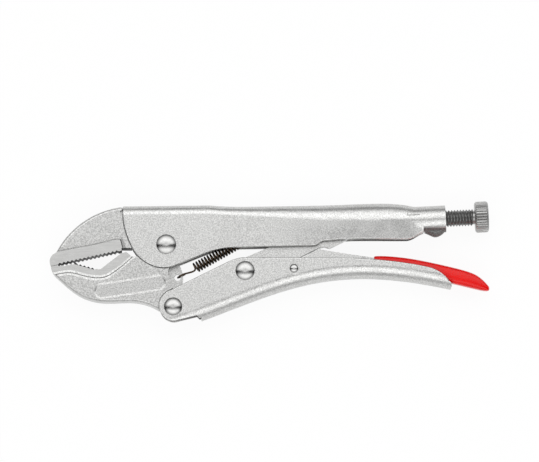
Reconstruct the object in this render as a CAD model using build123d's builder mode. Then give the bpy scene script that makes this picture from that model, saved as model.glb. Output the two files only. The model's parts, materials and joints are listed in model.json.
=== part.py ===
"""Locking pliers: fixed handle and jaw, moving jaw, toggle lever, release lever and screw.

The tool lies on its side. X runs from the jaw tip to the knob, Y from the lower lever to
the upper handle, and Z up along the rivets. Outlines are drawn in millimetres from the jaw
pivot, on the middle plane of the tool.
"""

import math
import os

from build123d import *

os.makedirs("parts", exist_ok=True)

# Overall layout, from the jaw pivot
overall_length = 180.0
jaw_reach = 47.6
lever_pivot_x = 2.87
lever_pivot_y = -25.54
link_pivot_x = 32.29
link_pivot_y = -10.81
release_pivot_x = 52.31
release_pivot_y = -9.86
link_head_x = 78.7
screw_height = 11.4
screw_station = 120.25
screw_tilt = 2.8

# Sheet-steel channels
sheet = 2.0
tongue_thickness = 7.3
side_clearance = 0.15
edge_round = 0.45

# Jaws
jaw_thickness = 10.8
jaw_clearance = 0.35
jaw_round = 1.2
relief_radius = 0.6
boss_radius = 8.6
tooth_pitch = 1.7
tooth_depth = 0.6
panel_depth = 0.25
panel_slope = 0.8
panel_radius = 2.5
tab_thickness = 2.6
spring_hole = 2.6
pocket_radius = 10.3
weld_gap = 0.2
tongue_chamfer = 2.5
lever_boss_radius = 5.1

# Rivets: shank diameters, head diameters and the height of a dome
jaw_shank = 5.5
jaw_head = 8.1
lever_shank = 5.0
lever_head = 7.4
link_shank = 5.0
link_head = 7.8
release_shank = 2.8
release_head = 3.6
dome_height = 1.5
release_dome = 1.0
dome_rim = 0.25
dome_flat = 0.6
release_flat = 0.3
pin_clearance = 0.05
seat_clearance = 0.02
imprint_diameter = 4.7
imprint_peak = 3.3
imprint_depth = 0.2

# Lower lever
lever_end_radius = 5.65
web_toe_x = 14.65
web_toe_y = -31.1
floor_rise = 1.05
floor_bend = 2.2
web_bend = 5.4

# Toggle link
link_thickness = 4.6
link_boss_radius = 5.2
link_boss_thickness = 7.2
link_tip_radius = 3.8
tip_gap = 1.4

# Release lever and its sleeve
release_sheet = 1.1
release_width = 7.2
release_tail_width = 4.8
release_boss_radius = 3.2
release_web_start = 66.3
sleeve_start = 84.9
sleeve_thickness = 1.0
sleeve_round = 1.0
thumb_radius = 1.3
sleeve_clearance = 0.05

# Adjusting screw and knob
screw_diameter = 6.9
thread_pitch = 1.2
thread_depth = 0.6
thread_clearance = 0.08
neck_diameter = 5.6
neck_length = 1.0
spigot_diameter = 4.6
spigot_length = 3.6
tube_radius = 5.5
seam_gap = 0.3
lap_width = 0.3
lap_floor = 4.1
knob_diameter = 12.65
knob_length = 5.6
knob_round = 1.1
knurl_count = 33
knurl_depth = 0.4

# Tension spring
wire = 0.75
coil_diameter = 4.6
coil_pitch = 1.3
coil_turns = 20
coil_start = 8.2
spring_angle = 29.6
spring_length = 48.1
rear_bend = 4.0
hook_stub = 1.6
lug_width = 3.6
lug_thickness = 1.8
lug_hole = 1.9

# Sizes that follow from the ones above
channel_bore = tongue_thickness + 2 * side_clearance
channel_width = channel_bore + 2 * sheet
half_depth = channel_width / 2 + dome_height
right_end = overall_length - jaw_reach
slope = math.radians(screw_tilt)


def jaw_x(x, root=-19.0, drawn_tip=-47.6):
    """A place along the jaws as drawn, stretched from their root with the jaw's reach."""
    if x > root:
        return x
    return root + (x - root) * (jaw_reach + root) / (root - drawn_tip)


def rear_x(x, root=86.0, drawn_end=132.4):
    """A place behind the link's head as drawn, stretched with the tool's rear end."""
    if x < root:
        return x
    return root + (x - root) * (right_end - root) / (drawn_end - root)


tube_start = rear_x(100.0)
tube_end = rear_x(114.5)
cheek_end = rear_x(105.4)
lever_tail_x = rear_x(116.9)


def screw_axis_y(x):
    """Height of the screw's axis at a place along the tool."""
    return screw_height + (x - screw_station) * math.tan(slope)


knob_middle = right_end - knob_length / 2
tool_top = screw_axis_y(knob_middle) + knob_diameter / 2
centre_x = right_end - overall_length / 2
centre_y = (tool_top + web_toe_y) / 2
flat = Plane(origin=(-centre_x, -centre_y, half_depth))

lever_pivot = Vector(lever_pivot_x, lever_pivot_y)
link_pivot = Vector(link_pivot_x, link_pivot_y)
release_pivot = Vector(release_pivot_x, release_pivot_y)
link_tip = Vector(link_head_x, screw_axis_y(link_head_x))
spring_eye = Vector(4.63, -13.27)
spring_line = Vector(math.cos(math.radians(spring_angle)), math.sin(math.radians(spring_angle)))
lug_eye = spring_eye + spring_line * spring_length


def place(x, y, z=0.0):
    """A point of the layout in the part's own frame."""
    return flat.from_local_coords(Vector(x, y, z))


screw_direction = Vector(math.cos(slope), math.sin(slope), 0)
screw_plane = Plane(
    origin=place(link_tip.X, link_tip.Y), x_dir=screw_direction, z_dir=(0, 0, 1)
)
screw_axis = Axis(screw_plane.origin, screw_direction)


# Side outline of the upper handle's cheeks, open above where the bent web closes it
with BuildSketch(flat) as handle_side:
    with BuildLine():
        nose = ThreePointArc((-17.9, 14.2), (-17.5, 8.6), (-14.65, -0.1))
        chin = ThreePointArc(nose @ 1, (-10.1, -6.1), (-3.8, -9.25))
        heel = TangentArc(chin @ 1, (4.0, -8.4), tangent=chin % 1)
        rise = Line(heel @ 1, (16.0, -3.6))
        sweep_out = TangentArc(rise @ 1, (27.0, -1.15), tangent=rise % 1)
        waist = Line(sweep_out @ 1, (60.5, -0.4))
        shoulder = Spline(waist @ 1, (64.5, 1.5), tangents=[waist % 1, (1, 0.1)])
        grip = Spline(shoulder @ 1, (73.0, 2.15), (rear_x(98.0), 2.25), tangents=[(1, 0.1), (1, 0)])
        lift = Spline(grip @ 1, (cheek_end, 5.2), tangents=[grip % 1, (1, 0.25)])
        Polyline(lift @ 1, (cheek_end, 24.0), (-17.9, 24.0), nose @ 0)
    make_face()

# Side outline of the lower lever, whose web follows one long curve
web_points = [
    (lever_tail_x - 0.7, -18.1),
    (rear_x(101.8), -15.45),
    (77.3, -13.8),
    (54.8, -16.95),
    (34.3, -23.6),
    (web_toe_x, web_toe_y),
]
with BuildSketch(flat) as lever_side:
    with BuildLine():
        round_end = ThreePointArc(
            lever_pivot + Vector(0.6, -lever_end_radius),
            lever_pivot + Vector(-lever_end_radius, 0.2),
            lever_pivot + Vector(-3.2, 5.4),
        )
        brow = ThreePointArc(
            round_end @ 1,
            lever_pivot + Vector(-2.5, 6.05),
            lever_pivot + Vector(-1.6, 6.5),
        )
        ramp = Line(brow @ 1, (25.0, -7.3))
        crest = TangentArc(ramp @ 1, (31.0, -5.35), tangent=ramp % 1)
        back = Line(crest @ 1, (70.0, -5.45))
        sag = Spline(
            back @ 1, (rear_x(90.0), -6.55), (rear_x(108.2), -9.5), tangents=[back % 1, (1, -0.24)]
        )
        tail_top = ThreePointArc(sag @ 1, (rear_x(112.9), -11.9), (lever_tail_x - 0.6, -15.4))
        tail = ThreePointArc(tail_top @ 1, (lever_tail_x, -16.9), web_points[0])
        web_line = Spline(*web_points)
        Polyline(web_line @ 1, (web_toe_x - 2.1, web_toe_y + 2.1), round_end @ 0)
    make_face()


def rivet(name, pivot, shank, head, dome, crown_flat, seat):
    """A rivet with the same domed head on both sides, each seated on a cheek."""
    middle = place(pivot.X, pivot.Y)
    with BuildPart() as body:
        with BuildSketch(Plane(middle, x_dir=(1, 0, 0), z_dir=(0, -1, 0))):
            with BuildLine():
                crown = TangentArc(
                    (crown_flat, seat + dome), (head / 2, seat + dome_rim), tangent=(1, 0)
                )
                Polyline(
                    crown @ 1,
                    (head / 2, seat),
                    (shank / 2, seat),
                    (shank / 2, 0),
                    (0, 0),
                    (0, seat + dome),
                    crown @ 0,
                )
            make_face()
        revolve(axis=Axis(middle, (0, 0, 1)))
        mirror(about=Plane(middle))
    body.part.label = name
    export_step(body.part, f"parts/{name}.step")
    return body


cheek = channel_width / 2
jaw_pivot = Vector(0, 0)
jaw_pivot_rivet = rivet(
    "jaw_pivot_rivet", jaw_pivot, jaw_shank, jaw_head, dome_height, dome_flat, cheek
)
lever_rivet = rivet(
    "lever_rivet", lever_pivot, lever_shank, lever_head, dome_height, dome_flat, cheek
)
link_rivet = rivet("link_rivet", link_pivot, link_shank, link_head, dome_height, dome_flat, cheek)
release_rivet = rivet(
    "release_rivet",
    release_pivot,
    release_shank,
    release_head,
    release_dome,
    release_flat,
    cheek - imprint_depth,
)


# Upper handle: a channel whose top grows rounder and whose cheeks roll in towards the tube
handle_stations = [
    # place, top, extra half width, bend height, bend width, foot height, lean of the cheeks to it
    (-18.2, 16.0, 0.0, 4.0, 4.0, -12.0, 0.0),
    (18.0, 16.4, 0.0, 4.0, 4.0, -12.0, 0.0),
    (42.0, 16.05, 0.05, 5.0, 4.6, -12.0, 0.2),
    (64.0, 16.5, 0.15, 6.6, 5.3, -12.0, 1.0),
    (85.0, 17.25, 0.2, 7.6, 5.6, -12.0, 2.0),
    (rear_x(95.0), 17.0, 0.1, 7.0, 5.5, -12.0, 2.6),
    (rear_x(101.5), 15.95, -0.3, 5.6, 5.2, -12.0, 3.4),
    (rear_x(105.5), 16.1, -0.4, 5.4, 5.2, 0.0, 2.9),
]
handle_runs = [(0, 2), (1, 7), (6, 8)]
front_overcut = 8.0


def station_plane(x):
    """The plane across the tool at a place along it, Y to its right and Z up."""
    return Plane(origin=place(x, 0), x_dir=(0, 1, 0), z_dir=(1, 0, 0))


def channel_section(station, wall, overcut):
    """The handle's section at a station, inside its wall."""
    x, top, extra, bend_height, bend_width, foot, lean = station
    half = channel_width / 2 + extra - wall
    across = half + wall - bend_width
    shoulder = top - bend_height
    with BuildSketch(station_plane(x - overcut if x < 0 else x)) as section:
        with BuildLine():
            near = EllipticalCenterArc(
                (shoulder, -across), bend_height - wall, bend_width - wall, start_angle=-90, arc_size=90
            )
            far = EllipticalCenterArc(
                (shoulder, across), bend_height - wall, bend_width - wall, start_angle=0, arc_size=90
            )
            Line(near @ 1, far @ 0)
            Polyline(far @ 1, (foot, half - lean), (foot, lean - half), near @ 0)
        make_face()
    return section.sketch


with BuildPart() as handle_cavity:
    for first, last in handle_runs:
        run = handle_stations[first:last]
        loft([channel_section(station, sheet, front_overcut) for station in run], ruled=len(run) == 2)

# The two lips of the tube, which bulge below it: distance from the middle, and how much higher they end
lip_start = rear_x(103.6)
lip_end = tube_end - 0.2
lip_steps = [(1.0, 0.0), (1.9, 0.45), (2.6, 1.5)]
with BuildPart() as tube_lips:
    for step, rise in [(-step, rise) for step, rise in reversed(lip_steps)] + lip_steps:
        with BuildSketch(flat.offset(step)):
            with BuildLine():
                lips = Spline(
                    (lip_start, screw_axis_y(lip_start) - 3.0 + rise),
                    (rear_x(105.6), 5.4 + rise),
                    (rear_x(107.6), 4.5 + rise),
                    (rear_x(110.2), 3.55 + rise),
                    (rear_x(112.2), 4.1 + rise),
                    (lip_end, 6.0 + rise),
                )
                Polyline(
                    lips @ 1,
                    (lip_end, screw_axis_y(tube_end)),
                    (lip_start, screw_axis_y(lip_start)),
                    lips @ 0,
                )
            make_face()
    loft(ruled=True)

with BuildPart() as upper_handle:
    for first, last in handle_runs:
        run = handle_stations[first:last]
        loft([channel_section(station, 0, 0) for station in run], ruled=len(run) == 2)
    add(handle_cavity.part, mode=Mode.SUBTRACT)
    extrude(handle_side.sketch, amount=half_depth, both=True, mode=Mode.INTERSECT)
    outline = handle_side.sketch.faces()[0].outer_wire()
    skin = channel_bore / 2 + 0.7 * sheet
    cheek_rims = ShapeList()
    for edge in edges():
        middle = edge @ 0.5
        if outline.distance_to(Vector(middle.X, middle.Y, half_depth)) < 0.01:
            if abs(middle.Z - half_depth) > skin:
                cheek_rims.append(edge)
    fillet(cheek_rims, radius=edge_round)

    # The rear end is rolled into a tube, whose two lips meet along a seam below
    with BuildSketch(
        Plane(
            origin=place(tube_start, screw_axis_y(tube_start)),
            x_dir=(0, 0, 1),
            z_dir=screw_direction,
        )
    ) as tube_face:
        Circle(tube_radius)
    tube_length = (tube_end - tube_start) / math.cos(slope)
    extrude(amount=tube_length)
    add(tube_lips.part)
    lug_root = min(station[1] for station in handle_stations) - sheet / 2
    with BuildSketch(flat):
        with Locations((lug_eye.X, lug_eye.Y)):
            Circle(lug_width / 2)
        with Locations((lug_eye.X, lug_eye.Y)):
            Rectangle(lug_width, lug_root - lug_eye.Y, align=(Align.CENTER, Align.MIN))
    extrude(amount=lug_thickness / 2, both=True)
    # A slit on each side, where the rolled sheet of the tube was cut free from the cheek
    for side in (1, -1):
        with BuildSketch(flat.offset(side * lap_floor)):
            with BuildLine():
                Polyline((rear_x(99.0), 13.6), (rear_x(98.8), 12.0), (rear_x(103.9), 12.3))
            trace(line_width=lap_width)
        extrude(amount=side * half_depth, mode=Mode.SUBTRACT)
    # Screw bore, seam, spring eye and rivet hole
    with BuildSketch(tube_face.workplanes[0]):
        Circle(screw_diameter / 2 + thread_clearance)
    extrude(amount=2 * tube_length, both=True, mode=Mode.SUBTRACT)
    with BuildSketch(flat):
        with Locations((tube_end, screw_axis_y(tube_end))):
            Rectangle(2 * tube_length, 3 * tube_radius, align=(Align.CENTER, Align.MAX))
    extrude(amount=seam_gap / 2, both=True, mode=Mode.SUBTRACT)
    with BuildSketch(flat):
        with Locations((lug_eye.X, lug_eye.Y)):
            Circle(lug_hole / 2)
    extrude(amount=lug_thickness, both=True, mode=Mode.SUBTRACT)
    with BuildSketch(flat):
        Circle(jaw_shank / 2 + seat_clearance)
    extrude(amount=half_depth, both=True, mode=Mode.SUBTRACT)
upper_handle.part.label = "upper_handle"
export_step(upper_handle.part, "parts/upper_handle.step")


# Rims of the machined bands on the jaws: depths below the sides, and how far out from the floor's edge
upper_rim_steps = [(-0.1, 2.0), (0.2, 0.45), (0.6, 0.0)]
lower_rim_steps = [(-0.1, 2.75), (0.17, 1.35), (0.5, 0.9), (0.67, 0.0)]


def tooth_row(start, end):
    """Outline of the notches between teeth, cut into the side to the left of a line."""
    row_line = end - start
    row_plane = Plane(place(start.X, start.Y), x_dir=(row_line.X, row_line.Y, 0), z_dir=(0, 0, 1))
    zigzag = [(0, 0)]
    for tooth in range(int(row_line.length / tooth_pitch)):
        zigzag.append(((tooth + 0.5) * tooth_pitch, tooth_depth))
        zigzag.append(((tooth + 1) * tooth_pitch, 0))
    with BuildSketch(row_plane) as row:
        with BuildLine():
            Polyline(*zigzag, (zigzag[-1][0], -tooth_depth), (0, -tooth_depth), close=True)
        make_face()
    return row.sketch


# Upper jaw: a forged body with a straight toothed edge and a tongue between the cheeks
tooth_start = Vector(jaw_x(-44.3), -8.28)
tooth_end = Vector(-18.3, -2.56)
with BuildSketch(flat) as upper_jaw_side:
    with BuildLine():
        brow = ThreePointArc((-18.9, 15.35), (jaw_x(-34.6), 8.95), (jaw_x(-45.1), -3.35))
        cheek_line = Line(brow @ 1, (jaw_x(-46.4), -4.1))
        tip = ThreePointArc(cheek_line @ 1, (-jaw_reach, -6.2), (jaw_x(-47.2), -8.85))
        Polyline(
            tip @ 1,
            (tooth_start.X, tooth_start.Y),
            (tooth_end.X, tooth_end.Y),
            (tooth_end.X, -1.5),
            (2.0, -1.5),
            (2.0, 14.0),
            (-18.0, 13.8),
            (-18.0, 15.1),
            brow @ 0,
        )
    make_face()
    Circle(boss_radius + jaw_clearance, mode=Mode.SUBTRACT)
    with Locations((-18.3, 13.5)):
        Circle(relief_radius, mode=Mode.SUBTRACT)

with BuildPart() as upper_jaw:
    extrude(upper_jaw_side.sketch, amount=jaw_thickness / 2, both=True)
    brow_edges = faces().filter_by(Axis.Z).edges().filter_by(GeomType.CIRCLE)
    fillet(brow_edges.sort_by(SortBy.LENGTH)[-2:], radius=jaw_round)
    for side in (1, -1):
        with BuildSketch(flat.offset(side * (channel_bore / 2 - seat_clearance))):
            add(handle_side.sketch_local)
            offset(amount=weld_gap)
        extrude(amount=side * jaw_thickness, mode=Mode.SUBTRACT)
        with BuildSketch(station_plane(-17.9)):
            with BuildLine():
                Polyline(
                    (14.2 - tongue_chamfer, side * channel_bore / 2),
                    (14.2, side * channel_bore / 2),
                    (14.2, side * (channel_bore / 2 - tongue_chamfer)),
                    close=True,
                )
            make_face()
        extrude(amount=24.0, mode=Mode.SUBTRACT)
        for depth, spread in upper_rim_steps:
            with BuildSketch(flat.offset(side * (jaw_thickness / 2 - depth))):
                with BuildLine():
                    Polyline(
                        (jaw_x(-50.0), -3.9 + spread),
                        (jaw_x(-44.7), -2.95 + spread),
                        (jaw_x(-29.1), -0.1 + spread),
                        (jaw_x(-20.6), 2.0 + spread),
                        (-18.9 + 0.6 * spread, 2.0 + 0.8 * spread),
                        (-17.9 + spread, -1.7),
                        (-17.9 + spread, -12.0),
                        (jaw_x(-50.0), -12.0),
                        close=True,
                    )
                make_face()
        loft(ruled=True, mode=Mode.SUBTRACT)
    extrude(tooth_row(tooth_start, tooth_end), amount=jaw_thickness, both=True, mode=Mode.SUBTRACT)
upper_jaw.part.label = "upper_jaw"
export_step(upper_jaw.part, "parts/upper_jaw.step")


# Lower jaw: a forged body with a V-shaped mouth, a tongue with two bosses and a spring tab
pocket_centre = Vector(11.15, -11.87)
land_start = Vector(jaw_x(-44.0), -8.95)
land_peak = Vector(jaw_x(-37.4), -7.5)
land_end = Vector(jaw_x(-28.4), -10.0)
with BuildSketch(flat) as lower_jaw_side:
    with BuildLine():
        land = Polyline(
            (jaw_x(-47.2), -9.0), (jaw_x(-44.35), -8.43), land_start, land_peak, land_end
        )
        mouth = ThreePointArc(land @ 1, (jaw_x(-27.5), -10.2), (jaw_x(-26.7), -10.0))
        rear = Polyline(
            mouth @ 1, (-18.5, -3.65), (-16.4, -3.0), (-13.9, -5.0), (-8.0, -4.6), (4.5, -7.0)
        )
        tab = ThreePointArc(rear @ 1, (6.84, -12.9), (6.2, -17.5))
        shank = Polyline(
            tab @ 1,
            lever_pivot + Vector(4.3, 2.5),
            lever_pivot,
            (-2.4, -27.1),
        )
        belly = Spline(
            shank @ 1,
            (-6.4, -25.0),
            (-12.9, -23.4),
            (jaw_x(-21.0), -23.5),
            (jaw_x(-28.2), -23.2),
            (jaw_x(-35.1), -20.95),
            (jaw_x(-41.4), -16.4),
            (jaw_x(-45.4), -12.8),
        )
        ThreePointArc(belly @ 1, (jaw_x(-46.75), -10.9), land @ 0)
    make_face()

# Upper edge of the blasted side faces, below the machined band along the mouth
mouth_rim = [
    (jaw_x(-46.5), -11.6),
    (jaw_x(-42.4), -10.7),
    (jaw_x(-39.0), -10.5),
    (jaw_x(-35.5), -11.3),
    (jaw_x(-28.3), -12.6),
    (jaw_x(-25.2), -12.3),
    (jaw_x(-22.2), -10.8),
    (-15.6, -5.6),
    (-12.0, -2.4),
]
with BuildPart() as lower_jaw:
    extrude(lower_jaw_side.sketch, amount=jaw_thickness / 2, both=True)
    belly_edges = faces().filter_by(Axis.Z).edges().filter_by(GeomType.BSPLINE)
    fillet(belly_edges, radius=jaw_round)
    with BuildSketch(flat):
        Circle(boss_radius)
        with Locations((lever_pivot.X, lever_pivot.Y)):
            Circle(lever_boss_radius)
    extrude(amount=tongue_thickness / 2, both=True)
    for side in (1, -1):
        with BuildSketch(flat.offset(side * tongue_thickness / 2)):
            add(handle_side.sketch_local)
            offset(amount=jaw_clearance)
        extrude(amount=side * jaw_thickness, mode=Mode.SUBTRACT)
        with BuildSketch(flat.offset(side * tongue_thickness / 2)):
            add(lever_side.sketch_local)
            offset(amount=jaw_clearance)
            with Locations((lever_pivot.X, lever_pivot.Y)):
                Circle(lever_end_radius + jaw_clearance)
        extrude(amount=side * jaw_thickness, mode=Mode.SUBTRACT)
        with BuildSketch(flat.offset(side * tab_thickness / 2)):
            with Locations((pocket_centre.X, pocket_centre.Y)):
                Circle(pocket_radius)
        extrude(amount=side * jaw_thickness, mode=Mode.SUBTRACT)
        for depth, spread in lower_rim_steps:
            with BuildSketch(flat.offset(side * (jaw_thickness / 2 - depth))):
                with BuildLine():
                    rim = Spline(*[(x, y - spread) for x, y in mouth_rim])
                    Polyline(
                        rim @ 1,
                        (-12.0, 0.0),
                        (jaw_x(-50.0), 0.0),
                        (jaw_x(-50.0), mouth_rim[0][1] - spread),
                        rim @ 0,
                    )
                make_face()
        loft(ruled=True, mode=Mode.SUBTRACT)
        for depth in (-panel_depth, panel_depth):
            spread = panel_slope * (panel_depth - depth) / panel_depth
            with BuildSketch(flat.offset(side * (jaw_thickness / 2 - depth))):
                SlotCenterPoint((-14.8, -17.45), (-3.4, -15.75), 2 * (panel_radius + spread))
        loft(ruled=True, mode=Mode.SUBTRACT)
    for row_start, row_end in ((land_peak, land_start), (land_end, land_peak)):
        extrude(tooth_row(row_start, row_end), amount=jaw_thickness, both=True, mode=Mode.SUBTRACT)
    with BuildSketch(flat):
        Circle(jaw_shank / 2 + pin_clearance)
        with Locations((lever_pivot.X, lever_pivot.Y)):
            Circle(lever_shank / 2 + pin_clearance)
        with Locations((spring_eye.X, spring_eye.Y)):
            Circle(spring_hole / 2)
    extrude(amount=jaw_thickness, both=True, mode=Mode.SUBTRACT)
lower_jaw.part.label = "lower_jaw"
export_step(lower_jaw.part, "parts/lower_jaw.step")


# Lower lever: a channel with its web outside, rounded over along the web
channel_floor = [(x, y + sheet * floor_rise) for x, y in web_points]
with BuildPart() as lever_cavity:
    with BuildSketch(flat):
        with BuildLine():
            floor = Spline(*channel_floor)
            Polyline(
                floor @ 1,
                (web_toe_x - 1.0, web_toe_y - 4),
                (-12.0, web_toe_y - 4),
                (-12.0, 4.0),
                (lever_tail_x + 6, 4.0),
                (lever_tail_x + 6, channel_floor[0][1] - 1.0),
                floor @ 0,
            )
        make_face()
    extrude(amount=channel_bore / 2, both=True)
    floor_edges = faces().filter_by(Axis.Z).edges().filter_by(GeomType.BSPLINE)
    fillet(floor_edges, radius=floor_bend)

with BuildPart() as lower_lever:
    extrude(lever_side.sketch, amount=channel_width / 2, both=True)
    web_edges = faces().filter_by(Axis.Z).edges().filter_by(GeomType.BSPLINE).sort_by(Axis.Y)[:2]
    fillet(web_edges, radius=web_bend)
    add(lever_cavity.part, mode=Mode.SUBTRACT)
    cheeks = faces().filter_by(Axis.Z).sort_by(Axis.Z)
    lever_rims = cheeks[0].outer_wire().edges() + cheeks[-1].outer_wire().edges()
    lever_rims = lever_rims.sort_by(SortBy.LENGTH)[:-2]
    ear_back = place(lever_pivot.X + lever_end_radius, 0).X
    fillet(lever_rims.filter_by(lambda edge: (edge @ 0.5).X > ear_back), radius=edge_round)
    with BuildSketch(flat):
        with Locations((lever_pivot.X, lever_pivot.Y)):
            Circle(lever_shank / 2 + seat_clearance)
        with Locations((link_pivot.X, link_pivot.Y)):
            Circle(link_shank / 2 + seat_clearance)
        with Locations((release_pivot.X, release_pivot.Y)):
            Circle(release_shank / 2 + seat_clearance)
    extrude(amount=half_depth, both=True, mode=Mode.SUBTRACT)
    for side in (1, -1):
        with BuildSketch(flat.offset(side * channel_width / 2)):
            with Locations((release_pivot.X, release_pivot.Y)):
                Circle(imprint_diameter / 2)
            with Locations((release_pivot.X, release_pivot.Y + imprint_peak)):
                Circle(imprint_diameter / 10)
            make_hull()
        extrude(amount=-side * imprint_depth, mode=Mode.SUBTRACT)
lower_lever.part.label = "lower_lever"
export_step(lower_lever.part, "parts/lower_lever.step")


# Toggle link, drawn along the line from the link rivet to the tip of the screw
link_line = link_tip - link_pivot
link_length = link_line.length
link_plane = Plane(place(link_pivot.X, link_pivot.Y), x_dir=link_line, z_dir=(0, 0, 1))
with BuildPart() as toggle_link:
    with BuildSketch(link_plane):
        with BuildLine():
            Polyline(
                (0, link_boss_radius),
                (14.0, link_boss_radius),
                (link_length, link_tip_radius),
                (link_length, -link_tip_radius),
                (41.6, -4.75),
                (35.6, -5.0),
                (33.8, -3.6),
                (31.5, -3.1),
                (22.8, -3.6),
                (0, -link_boss_radius + 0.6),
                close=True,
            )
        make_face()
        Circle(link_boss_radius)
        with Locations((link_length, 0)):
            Circle(link_tip_radius)
    extrude(amount=link_thickness / 2, both=True)
    with BuildSketch(link_plane):
        Circle(link_boss_radius)
    extrude(amount=link_boss_thickness / 2, both=True)
    with BuildSketch(link_plane):
        Circle(link_shank / 2 + pin_clearance)
    extrude(amount=half_depth, both=True, mode=Mode.SUBTRACT)
toggle_link.part.label = "toggle_link"
export_step(toggle_link.part, "parts/toggle_link.step")


# Release lever: two cheeks beside the link, joined by a web behind it, and a narrower tail
tail_end = right_end - sleeve_thickness - 1.4
release_top = [
    (63.4, -1.95),
    (73.2, -3.55),
    (sleeve_start, -4.1 - sleeve_thickness),
    (rear_x(101.8), -5.6 - sleeve_thickness),
    (rear_x(118.2), -9.2 - sleeve_thickness),
    (tail_end - 3.4, -12.0 - sleeve_thickness),
]
release_under = [
    (tail_end - 0.2, -17.5),
    (rear_x(117.0), -14.6),
    (rear_x(98.0), -10.6),
    (80.0, -9.2),
    (62.0, -10.6),
    (53.6, -12.8),
]
with BuildSketch(flat) as release_side:
    with BuildLine():
        ear = Line((53.6, -6.6), (61.9, -1.75))
        top = Spline(*release_top)
        ThreePointArc(ear @ 1, (62.6, -1.6), top @ 0)
        ThreePointArc(top @ 1, (tail_end, -15.9), release_under[0])
        under = Spline(*release_under)
        Line(under @ 1, ear @ 0)
    make_face()
    with Locations((release_pivot.X, release_pivot.Y)):
        Circle(release_boss_radius)


def release_plan(inset):
    """Corners of the release lever seen from above: wide beside the link, narrow in the sleeve."""
    wide = release_width / 2 - inset
    narrow = release_tail_width / 2 - inset
    joggle = sleeve_start - 1.0
    front = release_pivot.X - 10
    half = [(front, wide), (joggle - 6.0, wide), (joggle, narrow), (right_end, narrow)]
    return half + [(x, -z) for x, z in reversed(half)]


plan_plane = Plane(origin=place(0, 0), x_dir=(1, 0, 0), z_dir=(0, -1, 0))
with BuildPart() as release_cavity:
    with BuildSketch(flat):
        with BuildLine():
            roof = Spline(*[(x, y - release_sheet) for x, y in release_top])
            Polyline(roof @ 1, (tail_end - 3.4, -30.0), ((roof @ 0).X, -30.0), roof @ 0)
        make_face()
        with Locations((release_web_start, 0)):
            Rectangle(40.0, 60.0, align=(Align.MAX, Align.CENTER))
    extrude(amount=release_width, both=True)
    with BuildSketch(plan_plane):
        with BuildLine():
            Polyline(*release_plan(release_sheet), close=True)
        make_face()
    extrude(amount=40.0, both=True, mode=Mode.INTERSECT)

with BuildPart() as release_lever:
    extrude(release_side.sketch, amount=release_width / 2, both=True)
    with BuildSketch(plan_plane):
        with BuildLine():
            Polyline(*release_plan(0), close=True)
        make_face()
    extrude(amount=40.0, both=True, mode=Mode.INTERSECT)
    add(release_cavity.part, mode=Mode.SUBTRACT)
    with BuildSketch(flat):
        with Locations((release_pivot.X, release_pivot.Y)):
            Circle(release_shank / 2 + pin_clearance)
    extrude(amount=half_depth, both=True, mode=Mode.SUBTRACT)
release_lever.part.label = "release_lever"
export_step(release_lever.part, "parts/release_lever.step")


# Release sleeve: a plastic coat around the tail
with BuildPart() as release_sleeve:
    with BuildSketch(flat):
        with BuildLine():
            thumb = CenterArc((right_end - thumb_radius, -17.35), thumb_radius, 41, -142.7)
            crown = Spline(
                (sleeve_start, -4.1),
                (rear_x(93.7), -4.5),
                (rear_x(101.8), -5.6),
                (rear_x(118.2), -9.2),
                (rear_x(124.8), -10.95),
                (rear_x(128.2), -12.75),
                thumb @ 0,
                tangents=[(1, 0), thumb % 0],
            )
            belly = Spline(
                thumb @ 1,
                (rear_x(117.0), -15.7),
                (rear_x(98.0), -11.7),
                (sleeve_start, -10.4),
                tangents=[thumb % 1, (-1, 0)],
            )
            Line(belly @ 1, crown @ 0)
        make_face()
    extrude(amount=release_tail_width / 2 + sleeve_thickness, both=True)
    fillet(faces().filter_by(Axis.Z).edges().filter_by(GeomType.LINE, reverse=True), radius=sleeve_round)
    with BuildSketch(flat):
        with BuildLine():
            top = Spline(*[(x, y + sleeve_clearance) for x, y in release_top])
            under = Spline(*[(x, y - sleeve_clearance) for x, y in release_under])
            ThreePointArc(top @ 1, (tail_end + sleeve_clearance, -15.9), under @ 0)
            Line(under @ 1, top @ 0)
        make_face()
    extrude(amount=release_tail_width / 2 + sleeve_clearance, both=True, mode=Mode.SUBTRACT)
release_sleeve.part.label = "release_sleeve"
export_step(release_sleeve.part, "parts/release_sleeve.step")


# Adjusting screw, drawn along its axis from the centre of the link's head
tip_place = link_tip_radius + tip_gap
knob_face = (right_end - link_tip.X - knob_diameter / 2 * math.sin(slope)) / math.cos(slope)
knob_back = knob_face - knob_length
thread_end = knob_back - neck_length
crest = screw_diameter / 2
root = crest - thread_depth
with BuildPart() as adjusting_screw:
    with BuildSketch(screw_plane):
        with BuildLine():
            ridges = []
            ridge = tip_place + thread_pitch
            while ridge + thread_pitch < thread_end:
                ridges.append((ridge, root))
                ridges.append((ridge + 0.4 * thread_pitch, crest))
                ridges.append((ridge + 0.6 * thread_pitch, crest))
                ridge += thread_pitch
            Polyline(
                (tip_place, 0),
                (tip_place, root - 0.3),
                (tip_place + 0.3, root),
                *ridges,
                (ridge, root),
                (thread_end, root),
                (thread_end, neck_diameter / 2),
                (knob_back, neck_diameter / 2),
                (knob_back, spigot_diameter / 2),
                (knob_back + spigot_length, spigot_diameter / 2),
                (knob_back + spigot_length, 0),
                close=True,
            )
        make_face()
    revolve(axis=screw_axis)
adjusting_screw.part.label = "adjusting_screw"
export_step(adjusting_screw.part, "parts/adjusting_screw.step")


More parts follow.
